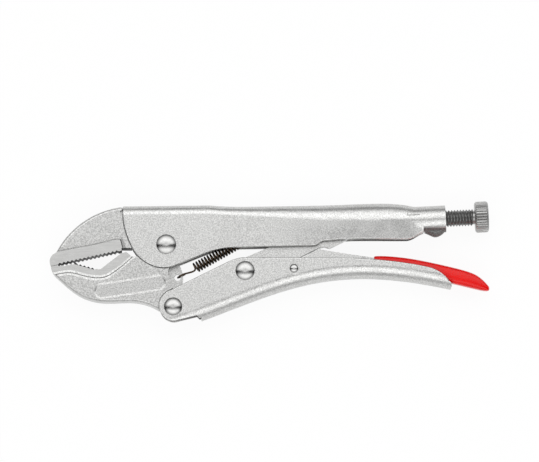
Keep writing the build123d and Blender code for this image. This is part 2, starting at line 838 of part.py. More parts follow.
# Adjusting knob: a knurled disc with rounded rims on the screw's spigot
with BuildPart() as adjusting_knob:
    with BuildSketch(screw_plane):
        with BuildLine():
            Polyline(
                (knob_face, 0),
                (knob_back + spigot_length + seat_clearance, 0),
                (knob_back + spigot_length + seat_clearance, spigot_diameter / 2 + pin_clearance),
                (knob_back, spigot_diameter / 2 + pin_clearance),
                (knob_back, knob_diameter / 2),
                (knob_face, knob_diameter / 2),
                close=True,
            )
        make_face()
        knob_rims = vertices().group_by(Axis.Y)[-1]
        fillet(knob_rims, radius=knob_round)
    revolve(axis=screw_axis)
    knob_plane = Plane(
        screw_plane.from_local_coords(Vector(knob_back, 0, 0)),
        x_dir=(0, 0, 1),
        z_dir=screw_direction,
    )
    with BuildSketch(knob_plane):
        rib_angle = 2 * math.pi / knurl_count
        corners = []
        for rib in range(knurl_count):
            for share, reach in ((-0.2, 0), (0.2, 0), (0.5, knurl_depth)):
                corner_angle = (rib + share) * rib_angle
                corner_radius = knob_diameter / 2 - reach
                corners.append(
                    (corner_radius * math.cos(corner_angle), corner_radius * math.sin(corner_angle))
                )
        with BuildLine():
            Polyline(*corners, close=True)
        make_face()
    extrude(amount=knob_length, both=True, mode=Mode.INTERSECT)
adjusting_knob.part.label = "adjusting_knob"
export_step(adjusting_knob.part, "parts/adjusting_knob.step")


# Tension spring, along the line from the jaw's tab to the handle's lug
coil_radius = (coil_diameter - wire) / 2
spring_across = Vector(-spring_line.Y, spring_line.X)


def on_spring(along, across, up):
    """A point beside the spring's axis."""
    point = spring_eye + spring_line * along + spring_across * across
    return place(point.X, point.Y, up)


def turn_point(turns):
    """Place and direction of the wire after a number of turns."""
    angle = 2 * math.pi * turns
    along = coil_start + coil_pitch * turns
    spot = on_spring(along, coil_radius * math.sin(angle), coil_radius * math.cos(angle))
    run = 2 * math.pi * coil_radius
    heading = spring_line * coil_pitch + spring_across * (run * math.cos(angle))
    return spot, Vector(heading.X, heading.Y, -run * math.sin(angle)).normalized()


def biarc_joint(start, leave, end, arrive):
    """Where two tangent arcs of equal reach meet between two headings."""
    span = end - start
    total = leave + arrive
    bend = 2 * (1 - leave.dot(arrive))
    lean = span.dot(total)
    reach = (math.sqrt(lean**2 + bend * span.dot(span)) - lean) / bend
    return (start + end + (leave - arrive) * reach) * 0.5


front_hook = coil_radius + 0.07
rear_hook = spring_length - coil_radius
ahead = Vector(spring_line.X, spring_line.Y, 0)
stops = [(on_spring(front_hook, 0, coil_radius), ahead)]
stops += [turn_point(half_turn / 2) for half_turn in range(2 * coil_turns + 1)]
stops += [(on_spring(coil_start + coil_pitch * coil_turns + rear_bend, 0, coil_radius), ahead)]
with BuildPart() as tension_spring:
    with BuildLine() as spring_path:
        Line(on_spring(front_hook + hook_stub, 0, -coil_radius), on_spring(front_hook, 0, -coil_radius))
        ThreePointArc(
            on_spring(front_hook, 0, -coil_radius),
            on_spring(front_hook - coil_radius, 0, 0),
            on_spring(front_hook, 0, coil_radius),
        )
        for (start, leave), (end, arrive) in zip(stops, stops[1:]):
            joint = biarc_joint(start, leave, end, arrive)
            TangentArc(start, joint, tangent=leave)
            TangentArc(end, joint, tangent=arrive * -1)
        Line(stops[-1][0], on_spring(rear_hook, 0, coil_radius))
        ThreePointArc(
            on_spring(rear_hook, 0, coil_radius),
            on_spring(rear_hook + coil_radius, 0, 0),
            on_spring(rear_hook, 0, -coil_radius),
        )
        Line(on_spring(rear_hook, 0, -coil_radius), on_spring(rear_hook - hook_stub, 0, -coil_radius))
    wire_path = spring_path.wire()
    with BuildSketch(Plane(origin=wire_path @ 0, z_dir=wire_path % 0)):
        Circle(wire / 2)
    sweep(path=wire_path)
tension_spring.part.label = "tension_spring"
export_step(tension_spring.part, "parts/tension_spring.step")

# Least gap of the spring to itself, on points along its wire
samples = [wire_path @ (step / 1500) for step in range(1501)]
skip = int(3 * wire / wire_path.length * 1500) + 1
least = min(
    (samples[one] - samples[two]).length
    for one in range(len(samples))
    for two in range(one + skip, len(samples))
)
tube_volume = math.pi * (wire / 2) ** 2 * wire_path.length
print(f"spring: least gap {least - wire:.2f} mm, wire {wire_path.length:.1f} mm long")
print(f"spring: volume {tension_spring.part.volume:.2f} of {tube_volume:.2f} cubic mm")
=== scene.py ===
# %% [markdown]
# # Locking pliers
# The solid model already holds every plate, rivet and joint of the tool. This lesson dresses it: it sets up
# the view and the light, softens the edges of the metal, remakes the pieces that a solid modeller keeps
# plain, and gives each surface its finish. All places are in metres, in the frame of the solids, so
# nothing has to be fitted afterwards.

# %% Load the solid model
import json
import math

import bpy
from mathutils import Matrix, Vector

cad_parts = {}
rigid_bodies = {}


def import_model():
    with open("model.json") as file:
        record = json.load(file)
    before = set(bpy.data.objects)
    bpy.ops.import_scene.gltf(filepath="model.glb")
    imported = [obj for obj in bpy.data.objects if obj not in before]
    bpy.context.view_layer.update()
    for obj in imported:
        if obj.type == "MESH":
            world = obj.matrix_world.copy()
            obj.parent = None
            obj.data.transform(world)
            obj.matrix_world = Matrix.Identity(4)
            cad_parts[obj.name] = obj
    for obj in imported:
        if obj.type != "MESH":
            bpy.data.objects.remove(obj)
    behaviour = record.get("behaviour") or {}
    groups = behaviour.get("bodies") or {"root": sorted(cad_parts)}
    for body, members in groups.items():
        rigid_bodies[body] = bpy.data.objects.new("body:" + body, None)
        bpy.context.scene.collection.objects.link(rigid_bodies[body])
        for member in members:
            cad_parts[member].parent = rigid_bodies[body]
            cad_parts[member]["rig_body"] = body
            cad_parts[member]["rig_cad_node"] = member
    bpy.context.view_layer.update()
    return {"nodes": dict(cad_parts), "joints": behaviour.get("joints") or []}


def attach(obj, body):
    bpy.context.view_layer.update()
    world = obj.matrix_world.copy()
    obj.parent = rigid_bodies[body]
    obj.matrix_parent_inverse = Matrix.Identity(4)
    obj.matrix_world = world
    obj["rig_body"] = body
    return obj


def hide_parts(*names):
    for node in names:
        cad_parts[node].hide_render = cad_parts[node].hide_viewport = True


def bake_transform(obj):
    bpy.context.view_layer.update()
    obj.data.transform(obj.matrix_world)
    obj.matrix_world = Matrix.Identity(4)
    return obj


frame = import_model()
nodes = frame["nodes"]
joints = {joint["name"]: joint for joint in frame["joints"]}
bpy.context.scene.view_settings.view_transform = "Standard"
print("solid pieces:", ", ".join(sorted(nodes)))

# %% [markdown]
# ## The view
# The tool is seen through a long lens from almost straight above, leaning a few degrees towards the lower
# lever. The camera therefore stands far away, and its lens follows from the width of the tool's plane that
# fills the picture. Aiming at the middle of the picture keeps the lens shift at zero.

# %% Camera
picture_width = 539
picture_height = 462
metres_per_pixel = 0.4093e-3
lean = math.radians(6.3)
camera_distance = 2.4
sensor_width = 36
cheek_height = 5.8e-3
pivot_across = 166.2
pivot_down = 244.3
jaw_pivot = Vector(joints["jaw_hinge"]["pos_m"])
view_middle = jaw_pivot + Vector(
    (
        (picture_width / 2 - pivot_across) * metres_per_pixel,
        (pivot_down - picture_height / 2) * metres_per_pixel,
        cheek_height,
    )
)
towards_camera = Vector((0, -math.sin(lean), math.cos(lean)))
bpy.ops.object.camera_add(location=view_middle + towards_camera * camera_distance, rotation=(lean, 0, 0))
camera = bpy.context.object
camera.name = "long_lens"
camera.data.sensor_width = sensor_width
camera.data.lens = sensor_width * camera_distance / (picture_width * metres_per_pixel)
bpy.context.scene.camera = camera
print("lens", round(camera.data.lens, 1), "mm")

# %% [markdown]
# ## The floor
# The tool lies on white paper. A purely diffuse floor would turn grey in the tool's own shade, so most of
# what the camera and the reflections see of it is a plain white glow, and the rest is paper that keeps the
# soft shadow. The Light Path node tells the two apart, and other light never meets the glow.

# %% Floor
floor_width = 6
paper_white = 0.95
glow_share = 0.92


def combine(tree, operation, first, second):
    """A Math node, whose inputs are numbers or other nodes' outputs."""
    node = tree.nodes.new("ShaderNodeMath")
    node.operation = operation
    for socket, value in zip(node.inputs, (first, second)):
        if isinstance(value, float):
            socket.default_value = value
        else:
            tree.links.new(value, socket)
    return node.outputs[0]


def lay_paper(tree):
    """White paper with a share of plain glow for the rays that look at it."""
    tree.nodes.clear()
    paper = tree.nodes.new("ShaderNodeBsdfDiffuse")
    paper.inputs["Color"].default_value = (paper_white, paper_white, paper_white, 1)
    glow = tree.nodes.new("ShaderNodeEmission")
    glow.inputs["Strength"].default_value = 1.0
    rays = tree.nodes.new("ShaderNodeLightPath").outputs
    looking = combine(tree, "MAXIMUM", rays["Is Camera Ray"], rays["Is Glossy Ray"])
    looking = combine(tree, "MAXIMUM", looking, rays["Is Transmission Ray"])
    mix = tree.nodes.new("ShaderNodeMixShader")
    tree.links.new(combine(tree, "MULTIPLY", looking, glow_share), mix.inputs["Fac"])
    tree.links.new(paper.outputs["BSDF"], mix.inputs[1])
    tree.links.new(glow.outputs["Emission"], mix.inputs[2])
    out = tree.nodes.new("ShaderNodeOutputMaterial")
    tree.links.new(mix.outputs["Shader"], out.inputs["Surface"])


bpy.ops.object.select_all(action="DESELECT")
bpy.ops.mesh.primitive_plane_add(size=floor_width, location=(0, 0, 0))
floor = bpy.context.object
floor.name = "pale_floor"
pale_paper = bpy.data.materials.new("pale_paper")
pale_paper.use_nodes = True
lay_paper(pale_paper.node_tree)
floor.data.materials.append(pale_paper)
print("floor:", floor.dimensions[0], "m wide")

# %% [markdown]
# ## The light
# Polished metal shows its surroundings, so the light has to be a whole studio. Diffusing cloth hangs on both
# sides of the tool, with a dark gap overhead that widens towards its ends. On the upper handle's side the
# gap ends sharply, and on the lower lever's side the light comes back slowly, so cheeks that lean that way
# look darker. The rivets mirror the gap as a dark waist. The cloth ends above the floor, and the dark room
# below it draws the thin dark lines along the outer bends. A weak light in front lifts the faces that look
# down past the lower lever. Lamps would show as spots in the polished heads. The world's shader paints all
# of this by the direction of a ray instead, so it is equally far from every piece.

# %% Eases
tent = bpy.data.worlds.new("light_tent")
bpy.context.scene.world = tent
tent.use_nodes = True


def between(tree, value, low, high, start=0.0, end=1.0):
    """A value that eases from low to high while another goes from start to end."""
    ease = tree.nodes.new("ShaderNodeMapRange")
    ease.interpolation_type = "SMOOTHSTEP"
    ease.inputs["From Min"].default_value = start
    ease.inputs["From Max"].default_value = end
    ease.inputs["To Min"].default_value = low
    ease.inputs["To Max"].default_value = high
    tree.links.new(value, ease.inputs["Value"])
    return ease.outputs["Result"]


print("world:", tent.name)

# %% Light tent
# Where each part of the tent starts and ends, as parts of a ray's direction.
sharp_edge = (0.0, 0.14)
slow_edge = (0.03, 0.5)
gap_ends = (0.1, 0.5)
cloth_rise = (0.15, 0.45)
room_rise = (0.15, 0.8)
front_rise = (0.3, 0.8)


def hang_tent(tree, brightness, gap_light, gap_widening, middle_light, room_light, front_light):
    """Cloth on both sides of a gap along X, which is darkest at its ends, above a dark room."""
    direction = tree.nodes.new("ShaderNodeTexCoord").outputs["Generated"]
    split = tree.nodes.new("ShaderNodeSeparateXYZ")
    tree.links.new(direction, split.inputs[0])
    along, across, up = split.outputs
    opposite = combine(tree, "MULTIPLY", across, -1.0)
    widening = combine(tree, "MULTIPLY", combine(tree, "MULTIPLY", along, along), gap_widening)
    behind = between(tree, combine(tree, "SUBTRACT", across, widening), 1.0, 0.0, *sharp_edge)
    ahead = between(tree, combine(tree, "SUBTRACT", opposite, widening), 1.0, 0.0, *slow_edge)
    depth = between(tree, combine(tree, "ABSOLUTE", along, 0.0), 1.0 - gap_light, 1.0, *gap_ends)
    shade = combine(tree, "MULTIPLY", combine(tree, "MINIMUM", behind, ahead), depth)
    cloth = between(tree, combine(tree, "ABSOLUTE", across, 0.0), middle_light, 1.0, *cloth_rise)
    height = between(tree, up, room_light, 1.0, *room_rise)
    front = between(tree, opposite, 0.0, front_light, *front_rise)
    light = combine(tree, "MULTIPLY", combine(tree, "SUBTRACT", 1.0, shade), cloth)
    light = combine(tree, "MAXIMUM", combine(tree, "MULTIPLY", light, height), front)
    sky = tree.nodes["Background"]
    sky.inputs["Color"].default_value = (1, 1, 1, 1)
    tree.links.new(combine(tree, "MULTIPLY", light, brightness), sky.inputs["Strength"])


hang_tent(
    tent.node_tree,
    brightness=1.8,
    gap_light=0.25,
    gap_widening=0.06,
    middle_light=0.82,
    room_light=0.1,
    front_light=0.3,
)
print("light tent:", len(tent.node_tree.nodes), "nodes")

# %% [markdown]
# ## Grain, shared by all the metals
# The sheet and the forgings are blasted before they are plated, which leaves a fine grain that sparkles a
# little. An image of it would need unwrapping. Noise on Object coordinates needs none and keeps its size
# on every piece, so it becomes a node group: one fine noise gives the height and the speckle, and one broad
# noise gives the cloudy patches. The Stretch input draws the grain out into the marks of a grinding wheel.

# %% Grain group
even = (1.0, 1.0, 1.0)
clouds_per_metre = 140.0
speckle_range = (0.33, 0.67)
patch_range = (0.3, 0.7)


def new_group(name, inputs, outputs):
    """An empty shader group with named sockets."""
    group = bpy.data.node_groups.new(name, "ShaderNodeTree")
    for label, kind, value in inputs:
        socket = group.interface.new_socket(label, in_out="INPUT", socket_type=kind)
        if value is not None:
            socket.default_value = value
    for label, kind in outputs:
        group.interface.new_socket(label, in_out="OUTPUT", socket_type=kind)
    return group, group.nodes.new("NodeGroupInput"), group.nodes.new("NodeGroupOutput")


grain, grain_in, grain_out = new_group(
    "blast_grain",
    [
        ("Place", "NodeSocketVector", None),
        ("Stretch", "NodeSocketVector", even),
        ("Per metre", "NodeSocketFloat", 1500.0),
    ],
    [("Height", "NodeSocketFloat"), ("Speckle", "NodeSocketFloat"), ("Patch", "NodeSocketFloat")],
)
stretched = grain.nodes.new("ShaderNodeVectorMath")
stretched.operation = "MULTIPLY"
grain.links.new(grain_in.outputs["Place"], stretched.inputs[0])
grain.links.new(grain_in.outputs["Stretch"], stretched.inputs[1])
pits = grain.nodes.new("ShaderNodeTexNoise")
pits.inputs["Detail"].default_value = 3.0
pits.inputs["Roughness"].default_value = 0.65
grain.links.new(stretched.outputs["Vector"], pits.inputs["Vector"])
grain.links.new(grain_in.outputs["Per metre"], pits.inputs["Scale"])
grain.links.new(pits.outputs["Fac"], grain_out.inputs["Height"])
speckle = between(grain, pits.outputs["Fac"], 0.0, 1.0, *speckle_range)
grain.links.new(speckle, grain_out.inputs["Speckle"])
clouds = grain.nodes.new("ShaderNodeTexNoise")
clouds.inputs["Scale"].default_value = clouds_per_metre
clouds.inputs["Detail"].default_value = 2.0
grain.links.new(grain_in.outputs["Place"], clouds.inputs["Vector"])
patch = between(grain, clouds.outputs["Fac"], 0.0, 1.0, *patch_range)
grain.links.new(patch, grain_out.inputs["Patch"])
print("group:", grain.name, "with", len(grain.nodes), "nodes")

# %% [markdown]
# ## The metals
# Each metal is the same recipe with its own values: two tones mixed by the speckle, a roughness that
# wanders with the patches, and a bump from the grain's height. The plated sheet is satin and the forged jaws
# are a little darker. The bands along the jaws are ground smooth along their length, and the rivet heads are
# polished. The teeth get a near-black tone and the faces under the tube's lips a dark, dull one: both are
# painted shade.

# %% Recipe of a metal


def new_finish(name):
    """A new material with its node tree and its surface shader."""
    material = bpy.data.materials.new(name)
    material.use_nodes = True
    return material, material.node_tree, material.node_tree.nodes["Principled BSDF"]


def two_tone(tree, mask, dark, light):
    """A colour between two, by a mask."""
    blend = tree.nodes.new("ShaderNodeMix")
    blend.data_type = "RGBA"
    blend.inputs["A"].default_value = (*dark, 1)
    blend.inputs["B"].default_value = (*light, 1)
    tree.links.new(mask, blend.inputs["Factor"])
    return blend.outputs["Result"]


def grained(tree, per_metre, stretch=even):
    """The grain group on Object coordinates."""
    coords = tree.nodes.new("ShaderNodeTexCoord")
    node = tree.nodes.new("ShaderNodeGroup")
    node.node_tree = grain
    node.inputs["Per metre"].default_value = per_metre
    node.inputs["Stretch"].default_value = stretch
    tree.links.new(coords.outputs["Object"], node.inputs["Place"])
    return node.outputs


def bumped(tree, surface, height, strength, depth):
    """A bump of this depth in metres on a surface shader."""
    bump = tree.nodes.new("ShaderNodeBump")
    bump.inputs["Strength"].default_value = strength
    bump.inputs["Distance"].default_value = depth
    tree.links.new(height, bump.inputs["Height"])
    tree.links.new(bump.outputs["Normal"], surface.inputs["Normal"])


def metal(name, tones, rough, per_metre, strength, depth, stretch=even, bare=1.0):
    """A metal finish with grain in its colour, roughness and height, and as much metal as bare says."""
    material, tree, surface = new_finish(name)
    marks = grained(tree, per_metre, stretch)
    surface.inputs["Metallic"].default_value = bare
    tree.links.new(two_tone(tree, marks["Speckle"], *tones), surface.inputs["Base Color"])
    tree.links.new(between(tree, marks["Patch"], *rough), surface.inputs["Roughness"])
    bumped(tree, surface, marks["Height"], strength, depth)
    return material


def greys(*levels):
    """Steel greys, a little warmer than neutral."""
    return [(level, level, level * 0.985) for level in levels]


print("recipe of a metal ready")

# %% Metal finishes
along_jaw = (0.04, 1.0, 1.0)
wire_tones = [(0.03, 0.02, 0.014), (0.1, 0.07, 0.045)]
satin_nickel = metal("satin_nickel", greys(0.44, 0.75), (0.3, 0.36), 2200, 0.2, 45e-6)
forged_nickel = metal("forged_nickel", greys(0.38, 0.68), (0.3, 0.38), 2000, 0.22, 50e-6)
ground_steel = metal("ground_steel", greys(0.48, 0.57), (0.26, 0.34), 5000, 0.2, 20e-6, stretch=along_jaw)
# The near-black tone below is painted shade for the shadow among the teeth.
teeth_painted_shade = metal("teeth_painted_shade", greys(0.008, 0.03), (0.45, 0.6), 1800, 0.2, 30e-6)
polished_rivet = metal("polished_rivet", greys(0.49, 0.55), (0.17, 0.23), 900, 0.05, 20e-6)
black_wire = metal("black_wire", wire_tones, (0.25, 0.36), 1800, 0.1, 20e-6)
dark_thread = metal("dark_thread", greys(0.17, 0.28), (0.3, 0.42), 1500, 0.15, 30e-6)
knurled_steel = metal("knurled_steel", greys(0.3, 0.42), (0.26, 0.38), 1800, 0.2, 30e-6)
# The dark, dull tone below is painted shade for the shadow under the tube's lips.
lips_painted_shade = metal("lips_painted_shade", greys(0.09, 0.2), (0.45, 0.55), 1800, 0.3, 40e-6, bare=0.2)
print("metals made, materials in all:", len(bpy.data.materials))

# %% [markdown]
# ## The red plastic
# The sleeve is dipped plastic, smooth and glossy, with a faint orange peel from the dipping. Its colour
# hardly changes, so the broad patches move it only a little, and a shallow bump bends its reflections.

# %% Plastic finish
deep_red = (0.74, 0.005, 0.004)
bright_red = (0.8, 0.007, 0.005)
plastic_rough = (0.16, 0.22)
peel_per_metre = 300
red_plastic, tree, surface = new_finish("red_plastic")
marks = grained(tree, peel_per_metre)
tree.links.new(two_tone(tree, marks["Patch"], deep_red, bright_red), surface.inputs["Base Color"])
tree.links.new(between(tree, marks["Patch"], *plastic_rough), surface.inputs["Roughness"])
bumped(tree, surface, marks["Height"], strength=0.08, depth=40e-6)
surface.inputs["Specular IOR Level"].default_value = 0.3
print("plastic:", red_plastic.name)

# %% [markdown]
# ## The knob and the rivets
# These solids already have their true shape, with knurls and domes, so they stay as they are and only get
# their finishes. A solid arrives with a plain material, which is cleared first.

# %% Finished solids


def finish_with(piece, *materials):
    """Gives a piece these materials, in this order, and no others."""
    piece.data.materials.clear()
    for material in materials:
        piece.data.materials.append(material)


def body_of(node_name):
    """The moving body that a solid belongs to."""
    return nodes[node_name]["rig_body"]


finish_with(nodes["adjusting_knob"], knurled_steel)
for name in ("jaw_pivot_rivet", "lever_rivet", "link_rivet", "release_rivet"):
    finish_with(nodes[name], polished_rivet)
print("finished solids: the knob and the rivets")

# %% [markdown]
# ## Soft edges on the sheet metal and the forgings
# No edge of a real tool is as sharp as a solid modeller leaves it, and tumbling breaks the edges of these
# pieces before plating. A solid's own mesh stays as it is, so each piece is a copy: its loose triangles are
# merged, the flat ones are joined into whole faces, and a Bevel modifier rounds what is still sharp.
# Weighted normals keep the large faces flat beside the narrow rounded strips. The relief forged into the
# sides of the jaws is so shallow that smoothing would hide it, so its edges are marked as sharp.

# %% Normals
smooth_angle = math.radians(32)
relief_angle = math.radians(8)
relief_upright = 0.7


def weigh_normals(piece):
    """Keeps the large faces of a piece flat beside its narrow ones."""
    weighting = piece.modifiers.new("weighting", "WEIGHTED_NORMAL")
    weighting.keep_sharp = True
    bpy.ops.object.modifier_apply(modifier="weighting")


def crease_relief(piece):
    """Keeps the shallow relief on the sides of a piece crisp, where its faces meet at an angle."""
    beside = {}
    for face in piece.data.polygons:
        for key in face.edge_keys:
            beside.setdefault(key, []).append(face.normal)
    for edge in piece.data.edges:
        first, last = beside[edge.key][0], beside[edge.key][-1]
        if min(abs(first.z), abs(last.z)) > relief_upright and first.angle(last) > relief_angle:
            edge.use_edge_sharp = True


print("relief is sharp above", round(math.degrees(relief_angle)), "degrees")

# %% Soft-edged copies
merge_distance = 2e-6
flat_angle = math.radians(0.4)
rounding_segments = 2
sheet_edge = 0.1e-3
jaw_edge = 0.15e-3
link_edge = 0.2e-3


def soft_edged(node_name, piece_name, edge, relief=False):
    """A copy of a solid whose sharp edges are rounded by this much."""
    bpy.ops.object.select_all(action="DESELECT")
    nodes[node_name].select_set(True)
    bpy.context.view_layer.objects.active = nodes[node_name]
    bpy.ops.object.duplicate()
    piece = bpy.context.object
    piece.name = piece_name
    del piece["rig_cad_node"]
    bpy.ops.object.mode_set(mode="EDIT")
    bpy.ops.mesh.select_all(action="SELECT")
    bpy.ops.mesh.remove_doubles(threshold=merge_distance)
    bpy.ops.mesh.customdata_custom_splitnormals_clear()
    bpy.ops.mesh.dissolve_limited(angle_limit=flat_angle)
    bpy.ops.object.mode_set(mode="OBJECT")
    rounding = piece.modifiers.new("rounding", "BEVEL")
    rounding.width = edge
    rounding.segments = rounding_segments
    rounding.limit_method = "ANGLE"
    rounding.angle_limit = smooth_angle
    rounding.use_clamp_overlap = True
    bpy.ops.object.modifier_apply(modifier="rounding")
    bpy.ops.object.shade_smooth_by_angle(angle=smooth_angle)
    if relief:
        crease_relief(piece)
    weigh_normals(piece)
    finish_with(piece, satin_nickel)
    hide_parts(node_name)
    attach(piece, body_of(node_name))
    print(piece_name, len(piece.data.polygons), "faces")
    return piece


fixed_handle = soft_edged("upper_handle", "channel_handle", sheet_edge)
soft_edged("lower_lever", "channel_lever", sheet_edge)
soft_edged("toggle_link", "locking_link", link_edge)
soft_edged("release_lever", "release_channel", sheet_edge)
fixed_jaw = soft_edged("upper_jaw", "forged_upper_jaw", jaw_edge, relief=True)
moving_jaw = soft_edged("lower_jaw", "forged_lower_jaw", jaw_edge, relief=True)

# %% [markdown]
# ## Painted shade under the rolled tube
# The faces under the lips of the rolled tube at the rear lie in shadow, and they get a dark, dull finish as
# painted shade. A painted mask would need the same places again, so the faces themselves
# get the finish. They are known by their distance below the screw's axis.

# %% Faces of the lips
screw_tip = Vector(joints["knob_turn"]["pos_m"])
screw_line = Vector(joints["screw_slide"]["axis"]).normalized()
lips_start = jaw_pivot.x + 105.5e-3
shade_start = 3.8e-3


def below_screw(point):
    """How far a point lies below the screw's axis, towards the lower lever."""
    along = (point.x - screw_tip.x) / screw_line.x
    return screw_tip.y + screw_line.y * along - point.y


# These faces get the painted shade of the lips.
fixed_handle.data.materials.append(lips_painted_shade)
for face in fixed_handle.data.polygons:
    if face.center.x > lips_start and below_screw(face.center) > shade_start:
        face.material_index = 1
print("faces with painted shade:", sum(face.material_index for face in fixed_handle.data.polygons))

# %% [markdown]
# ## Ground bands and painted shade on the teeth
# Along the mouth, both jaws are ground after blasting, so a smooth band runs beside the teeth, below the
# level of the blasted sides. The teeth and the throat behind them get a near-black painted shade for the
# shadow among them. Painting masks would blur at the edges. The faces themselves are known by their place
# and normal, so each gets a material slot of its own.

# %% Faces of the jaws
blasted, ground, toothed = range(3)
jaw_middle = jaw_pivot.z
blasted_side = 5.4e-3
tongue_side = 3.9e-3
band_drop = 0.5e-3
flat_upright = 0.99
tooth_upright = 0.95
tooth_reach = 0.8e-3


def at(x, y):
    """A place in millimetres from the jaw pivot, in the frame of the solids."""
    return Vector((jaw_pivot.x + x * 1e-3, jaw_pivot.y + y * 1e-3, jaw_pivot.z))


def off_line(point, start, end):
    """How far a point lies from a line between two places, seen from above."""
    line = (end - start).to_2d()
    along = max(0.0, min(1.0, (point - start).to_2d().dot(line) / line.length_squared))
    return ((point - start).to_2d() - line * along).length


def finish_jaw(jaw, *tooth_lines):
    """Gives the ground bands and the toothed faces of a jaw their own finishes."""
    finish_with(jaw, forged_nickel, ground_steel, teeth_painted_shade)
    counts = [0, 0, 0]
    for face in jaw.data.polygons:
        out = abs(face.center.z - jaw_middle)
        upright = abs(face.normal.z)
        if upright > flat_upright and tongue_side < out < blasted_side - band_drop:
            face.material_index = ground
        near_teeth = any(off_line(face.center, *line) < tooth_reach for line in tooth_lines)
        # Faces of the teeth get the near-black painted shade.
        if upright < tooth_upright and near_teeth:
            face.material_index = toothed
        counts[face.material_index] += 1
    print(jaw.name, "blasted, ground and toothed faces:", counts)


upper_row = (at(-44.3, -8.28), at(-18.3, -2.56))
# The throat wall behind the upper teeth gets the same painted shade.
throat = (at(-18.3, -1.9), at(-12.0, -1.9))
land_row = (at(-44.0, -8.95), at(-37.4, -7.5))
slope_row = (at(-37.4, -7.5), at(-28.4, -10.0))
finish_jaw(fixed_jaw, upper_row, throat)
finish_jaw(moving_jaw, land_row, slope_row)

# %% [markdown]
# ## Painted shade on the tips of the teeth on the slope
# From the side, the teeth on the lower jaw's slope show as a row of short dark tips, which are shade. There
# the side of the jaw is one flat face that reaches into every tooth. A Bisect along the foot of the teeth
# cuts the tips free, so they can have the painted shade of the teeth, with an edge as crisp as the teeth
# themselves.

# %% Dark tips
tip_depth = 0.55e-3


def select_faces(piece, chosen):
    """Selects the faces of a piece that pass a test, and goes to edit mode."""
    bpy.ops.object.select_all(action="DESELECT")
    piece.select_set(True)
    bpy.context.view_layer.objects.active = piece
    bpy.ops.object.mode_set(mode="EDIT")
    bpy.ops.mesh.select_mode(type="FACE")
    bpy.ops.mesh.select_all(action="DESELECT")
    bpy.ops.object.mode_set(mode="OBJECT")
    for face in piece.data.polygons:
        face.select = chosen(face)
    bpy.ops.object.mode_set(mode="EDIT")


def paint_tip_shade(jaw, start, end):
    """Cuts the ground band along the foot of a row of teeth, and paints shade on what is beyond."""
    row = (end - start).normalized()
    outwards = Vector((-row.y, row.x, 0))
    select_faces(jaw, lambda face: face.material_index == ground)
    bpy.ops.mesh.bisect(plane_co=start - outwards * tip_depth, plane_no=outwards)
    bpy.ops.object.mode_set(mode="OBJECT")
    tips = 0
    for face in jaw.data.polygons:
        place = face.center - start
        on_row = 0 < place.dot(row) < (end - start).length
        # Tips beyond the foot of the teeth get the painted shade.
        if face.material_index == ground and on_row and place.dot(outwards) > -tip_depth:
            face.material_index = toothed
            tips += 1
    weigh_normals(jaw)
    print(jaw.name, "dark tips:", tips)


paint_tip_shade(moving_jaw, *slope_row)

# %% [markdown]
# ## The tension spring
# A tension spring is one wire: a hook, a tight helix and another hook. It could be a Screw modifier on a
# circle with the hooks added, but then the joints between them show. Here the whole centre line is worked
# out as points, a curve carries it, and the curve's bevel gives the wire its thickness. The spring hangs
# between the jaw and the handle.

# %% Sizes of the spring
wire = 0.75e-3
coil_radius = 1.925e-3
coil_pitch = 1.3e-3
coil_turns = 20
coil_start = 8.2e-3
coil_end = coil_start + coil_pitch * coil_turns
spring_length = 48.1e-3
hook_play = 0.07e-3
front_hook = coil_radius + hook_play
rear_hook = spring_length - coil_radius
hook_stub = 1.6e-3
rear_bend = 4.0e-3
spring_angle = math.radians(29.6)
spring_eye = at(4.63, -13.27)
spring_line = Vector((math.cos(spring_angle), math.sin(spring_angle), 0))
spring_across = Vector((-spring_line.y, spring_line.x, 0))
print("coil:", round((coil_end - coil_start) * 1e3, 1), "mm long")

# %% Bends of the wire
points_per_turn = 24
points_per_hook = 16
points_per_swing = 14
swing_reach = 1.1


def on_spring(along, across, up):
    """A point beside the spring's axis."""
    return spring_eye + spring_line * along + spring_across * across + Vector((0, 0, up))


def helix_point(turns):
    """The wire's place after a number of turns."""
    angle = 2 * math.pi * turns
    along = coil_start + coil_pitch * turns
    return on_spring(along, coil_radius * math.sin(angle), coil_radius * math.cos(angle))


def helix_heading(turns):
    """The wire's direction after a number of turns."""
    angle = 2 * math.pi * turns
    run = 2 * math.pi * coil_radius
    heading = spring_line * coil_pitch + spring_across * (run * math.cos(angle))
    return (heading - Vector((0, 0, run * math.sin(angle)))).normalized()


def swing(start, leave, end, arrive):
    """Points of a smooth bend from one heading to another."""
    reach = (end - start).length * swing_reach
    points = []
    for step in range(1, points_per_swing):
        t = step / points_per_swing
        points.append(
            start * (2 * t**3 - 3 * t**2 + 1)
            + leave * (reach * (t**3 - 2 * t**2 + t))
            + end * (3 * t**2 - 2 * t**3)
            + arrive * (reach * (t**3 - t**2))
        )
    return points


def hook(centre, side):
    """Half a loop across the spring, open towards the coil."""
    points = []
    for step in range(points_per_hook + 1):
        angle = math.pi * step / points_per_hook
        reach = side * coil_radius * math.sin(angle)
        points.append(on_spring(centre + reach, 0, side * coil_radius * math.cos(angle)))
    return points


rear_leg = on_spring(coil_end + rear_bend, 0, coil_radius)
wire_line = [on_spring(front_hook + hook_stub, 0, -coil_radius)]
wire_line += hook(front_hook, -1)
wire_line += swing(wire_line[-1], spring_line, helix_point(0), helix_heading(0))
for step in range(coil_turns * points_per_turn + 1):
    wire_line.append(helix_point(step / points_per_turn))
wire_line += swing(helix_point(coil_turns), helix_heading(coil_turns), rear_leg, spring_line)
wire_line.append(rear_leg)
wire_line += hook(rear_hook, 1)
wire_line.append(on_spring(rear_hook - hook_stub, 0, -coil_radius))
print("spring:", len(wire_line), "points")

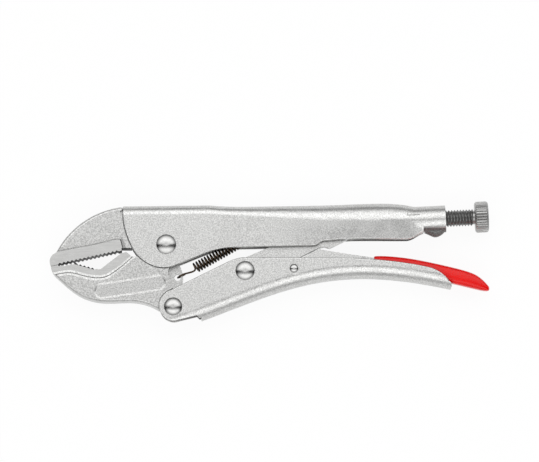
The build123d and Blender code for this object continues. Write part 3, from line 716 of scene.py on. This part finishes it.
# %% Spring
wire_resolution = 3
bpy.ops.object.select_all(action="DESELECT")
bpy.ops.curve.primitive_nurbs_path_add(location=(0, 0, 0))
spring = bpy.context.object
spring.name = "spring_wire"
spring.data.splines.clear()
line = spring.data.splines.new("POLY")
line.points.add(len(wire_line) - 1)
for point, place in zip(line.points, wire_line):
    point.co = (*place, 1)
spring.data.dimensions = "3D"
spring.data.bevel_depth = wire / 2
spring.data.bevel_resolution = wire_resolution
spring.data.use_fill_caps = True
bpy.ops.object.convert(target="MESH")
spring = bpy.context.object
bpy.ops.object.shade_smooth()
finish_with(spring, black_wire)
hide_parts("tension_spring")
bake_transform(spring)
print("spring:", len(spring.data.polygons), "faces")

# %% [markdown]
# ## The adjusting screw
# The solid screw has rings where the real one has a thread. A thread is one profile wound along a helix, so
# a single tooth of it is drawn as a chain of edges and wound by a Screw modifier. Bisect trims both ends
# square and closes them. The core, with its plain collar beside the knob, is a second chain, spun round.

# %% Profile of the thread
thread_pitch = 1.2e-3
crest = 3.45e-3
root = 2.85e-3
crest_round = 0.05e-3
root_share = 0.08
crest_share = 0.42


def draw_profile(name, points):
    """A chain of edges through these points, drawn by extruding one corner."""
    bpy.ops.object.select_all(action="DESELECT")
    bpy.ops.mesh.primitive_plane_add(size=1e-3, location=(0, 0, 0))
    piece = bpy.context.object
    piece.name = name
    bpy.ops.object.mode_set(mode="EDIT")
    bpy.ops.mesh.select_mode(type="VERT")
    bpy.ops.mesh.select_all(action="SELECT")
    bpy.ops.mesh.merge(type="CENTER")
    corners = [Vector((radius, 0, along)) for radius, along in points]
    bpy.ops.transform.translate(value=corners[0])
    for start, end in zip(corners, corners[1:]):
        bpy.ops.mesh.extrude_region_move(TRANSFORM_OT_translate={"value": end - start})
    bpy.ops.object.mode_set(mode="OBJECT")
    return piece


thread = draw_profile(
    "screw_thread",
    [
        (root, 0),
        (root, root_share * thread_pitch),
        (crest - crest_round, crest_share * thread_pitch),
        (crest, 0.5 * thread_pitch),
        (crest - crest_round, (1 - crest_share) * thread_pitch),
        (root, (1 - root_share) * thread_pitch),
        (root, thread_pitch),
    ],
)
print("thread profile:", len(thread.data.vertices), "corners")

# %% Thread
tip_place = 5.2e-3
knob_back = 47.855e-3
neck_length = 0.5e-3
thread_length = knob_back - neck_length - tip_place
runout = 0.6e-3
thread_top = thread_pitch + thread_length - runout
thread_sides = 40
weld_distance = 1e-6
winding = thread.modifiers.new("winding", "SCREW")
winding.axis = "Z"
winding.screw_offset = thread_pitch
winding.iterations = math.ceil(thread_length / thread_pitch) + 2
winding.steps = thread_sides
winding.render_steps = thread_sides
bpy.ops.object.modifier_apply(modifier="winding")
bpy.ops.object.mode_set(mode="EDIT")
bpy.ops.mesh.select_all(action="SELECT")
bpy.ops.mesh.remove_doubles(threshold=weld_distance)
for cut, inner, outer in ((thread_pitch, True, False), (thread_top, False, True)):
    bpy.ops.mesh.select_all(action="SELECT")
    bpy.ops.mesh.bisect(
        plane_co=(0, 0, cut), plane_no=(0, 0, 1), clear_inner=inner, clear_outer=outer, use_fill=True
    )
bpy.ops.mesh.select_all(action="SELECT")
bpy.ops.mesh.normals_make_consistent(inside=False)
bpy.ops.object.mode_set(mode="OBJECT")
finish_with(thread, dark_thread)
print("thread:", len(thread.data.polygons), "faces")

# %% Core of the screw
neck_radius = 2.8e-3
spigot_radius = 2.3e-3
spigot_length = 3.6e-3
core_radius = root - 0.05e-3
core_sides = 48
tip_chamfer = 0.35e-3
neck_end = thread_length + neck_length
core = draw_profile(
    "screw_core",
    [
        (0, 0),
        (core_radius - tip_chamfer, 0),
        (core_radius, tip_chamfer),
        (core_radius, thread_length),
        (neck_radius, thread_length),
        (neck_radius, neck_end),
        (spigot_radius, neck_end),
        (spigot_radius, neck_end + spigot_length),
        (0, neck_end + spigot_length),
    ],
)
bpy.ops.object.mode_set(mode="EDIT")
bpy.ops.mesh.select_all(action="SELECT")
bpy.ops.mesh.spin(steps=core_sides, angle=2 * math.pi, center=(0, 0, 0), axis=(0, 0, 1))
bpy.ops.mesh.select_all(action="SELECT")
bpy.ops.mesh.remove_doubles(threshold=weld_distance)
bpy.ops.mesh.normals_make_consistent(inside=False)
bpy.ops.object.mode_set(mode="OBJECT")
finish_with(core, knurled_steel)
print("core:", len(core.data.polygons), "faces")

# %% Screw on its axis
thread_smooth = math.radians(30)


def put_on_screw(piece, along):
    """Turns a piece that stands on Z into the screw's axis, this far along it."""
    turn = screw_line.to_track_quat("Z", "Y").to_matrix().to_4x4()
    piece.matrix_world = Matrix.Translation(screw_tip + screw_line * along) @ turn
    bpy.ops.object.select_all(action="DESELECT")
    piece.select_set(True)
    bpy.context.view_layer.objects.active = piece
    bpy.ops.object.transform_apply(location=True, rotation=True, scale=True)


put_on_screw(core, tip_place)
put_on_screw(thread, tip_place - thread_pitch + runout / 2)
core.select_set(True)
bpy.ops.object.join()
screw = bpy.context.object
screw.name = "threaded_rod"
bpy.ops.object.shade_smooth_by_angle(angle=thread_smooth)
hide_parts("adjusting_screw")
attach(screw, "screw")
print("screw:", len(screw.data.polygons), "faces")

# %% [markdown]
# ## The red sleeve
# The sleeve is plastic dipped over the tail of the release lever, so it is round where the solid has edges.
# A plane with rounded corners is its first section. Extruding its rim from station to station, and moving
# and scaling each new rim, draws the long curve to the thumb. The mouth gets a wall by inset, and a
# Subdivision Surface makes the skin smooth.

# %% Sleeve
sleeve_stations = [
    # place, crown and belly in millimetres from the jaw pivot, and half the width
    (84.9, -4.1, -10.4, 3.4),
    (93.7, -4.5, -11.15, 3.4),
    (101.8, -5.6, -12.35, 3.4),
    (110.0, -7.3, -14.05, 3.4),
    (118.2, -9.2, -15.95, 3.4),
    (124.8, -10.95, -17.55, 3.35),
    (128.2, -12.75, -18.35, 3.2),
    (130.4, -14.85, -18.75, 2.8),
    (131.8, -16.4, -18.75, 2.1),
    (132.4, -17.2, -18.3, 1.2),
]
corner_round = 0.6
corner_steps = 3
x, crown, belly, half_width = sleeve_stations[0]
bpy.ops.object.select_all(action="DESELECT")
bpy.ops.mesh.primitive_plane_add(size=2, location=(0, 0, 0), rotation=(0, -math.pi / 2, 0))
sleeve = bpy.context.object
sleeve.name = "dipped_sleeve"
bpy.ops.object.transform_apply(location=True, rotation=True, scale=True)
bpy.ops.object.mode_set(mode="EDIT")
bpy.ops.mesh.select_all(action="SELECT")
bpy.ops.mesh.bevel(affect="VERTICES", offset=corner_round, segments=corner_steps)
bpy.ops.mesh.select_all(action="SELECT")
bpy.ops.transform.resize(
    value=(1, (crown - belly) / 2 * 1e-3, half_width * 1e-3), center_override=(0, 0, 0)
)
bpy.ops.transform.translate(value=at(x, (crown + belly) / 2))
for last, station in zip(sleeve_stations, sleeve_stations[1:]):
    middle = at(station[0], (station[1] + station[2]) / 2)
    step = middle - at(last[0], (last[1] + last[2]) / 2)
    taller = (station[1] - station[2]) / (last[1] - last[2])
    bpy.ops.mesh.extrude_region_move(TRANSFORM_OT_translate={"value": step})
    bpy.ops.transform.resize(value=(1, taller, station[3] / last[3]), center_override=middle)
bpy.ops.mesh.select_all(action="SELECT")
bpy.ops.mesh.normals_make_consistent(inside=False)
bpy.ops.object.mode_set(mode="OBJECT")
print("sleeve:", len(sleeve.data.polygons), "faces before smoothing")

# %% Mouth and skin of the sleeve
wall = 0.9e-3
mouth_depth = 3.0e-3
skin_levels = 2
select_faces(sleeve, lambda face: face.normal.x < -flat_upright)
bpy.ops.mesh.inset(thickness=wall)
bpy.ops.mesh.extrude_region_move(TRANSFORM_OT_translate={"value": (mouth_depth, 0, 0)})
bpy.ops.mesh.select_all(action="SELECT")
bpy.ops.mesh.normals_make_consistent(inside=False)
bpy.ops.object.mode_set(mode="OBJECT")
skin = sleeve.modifiers.new("skin", "SUBSURF")
skin.levels = skin_levels
skin.render_levels = skin_levels
bpy.ops.object.modifier_apply(modifier="skin")
bpy.ops.object.shade_smooth()
finish_with(sleeve, red_plastic)
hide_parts("release_sleeve")
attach(sleeve, "release")
print("sleeve:", len(sleeve.data.polygons), "faces")
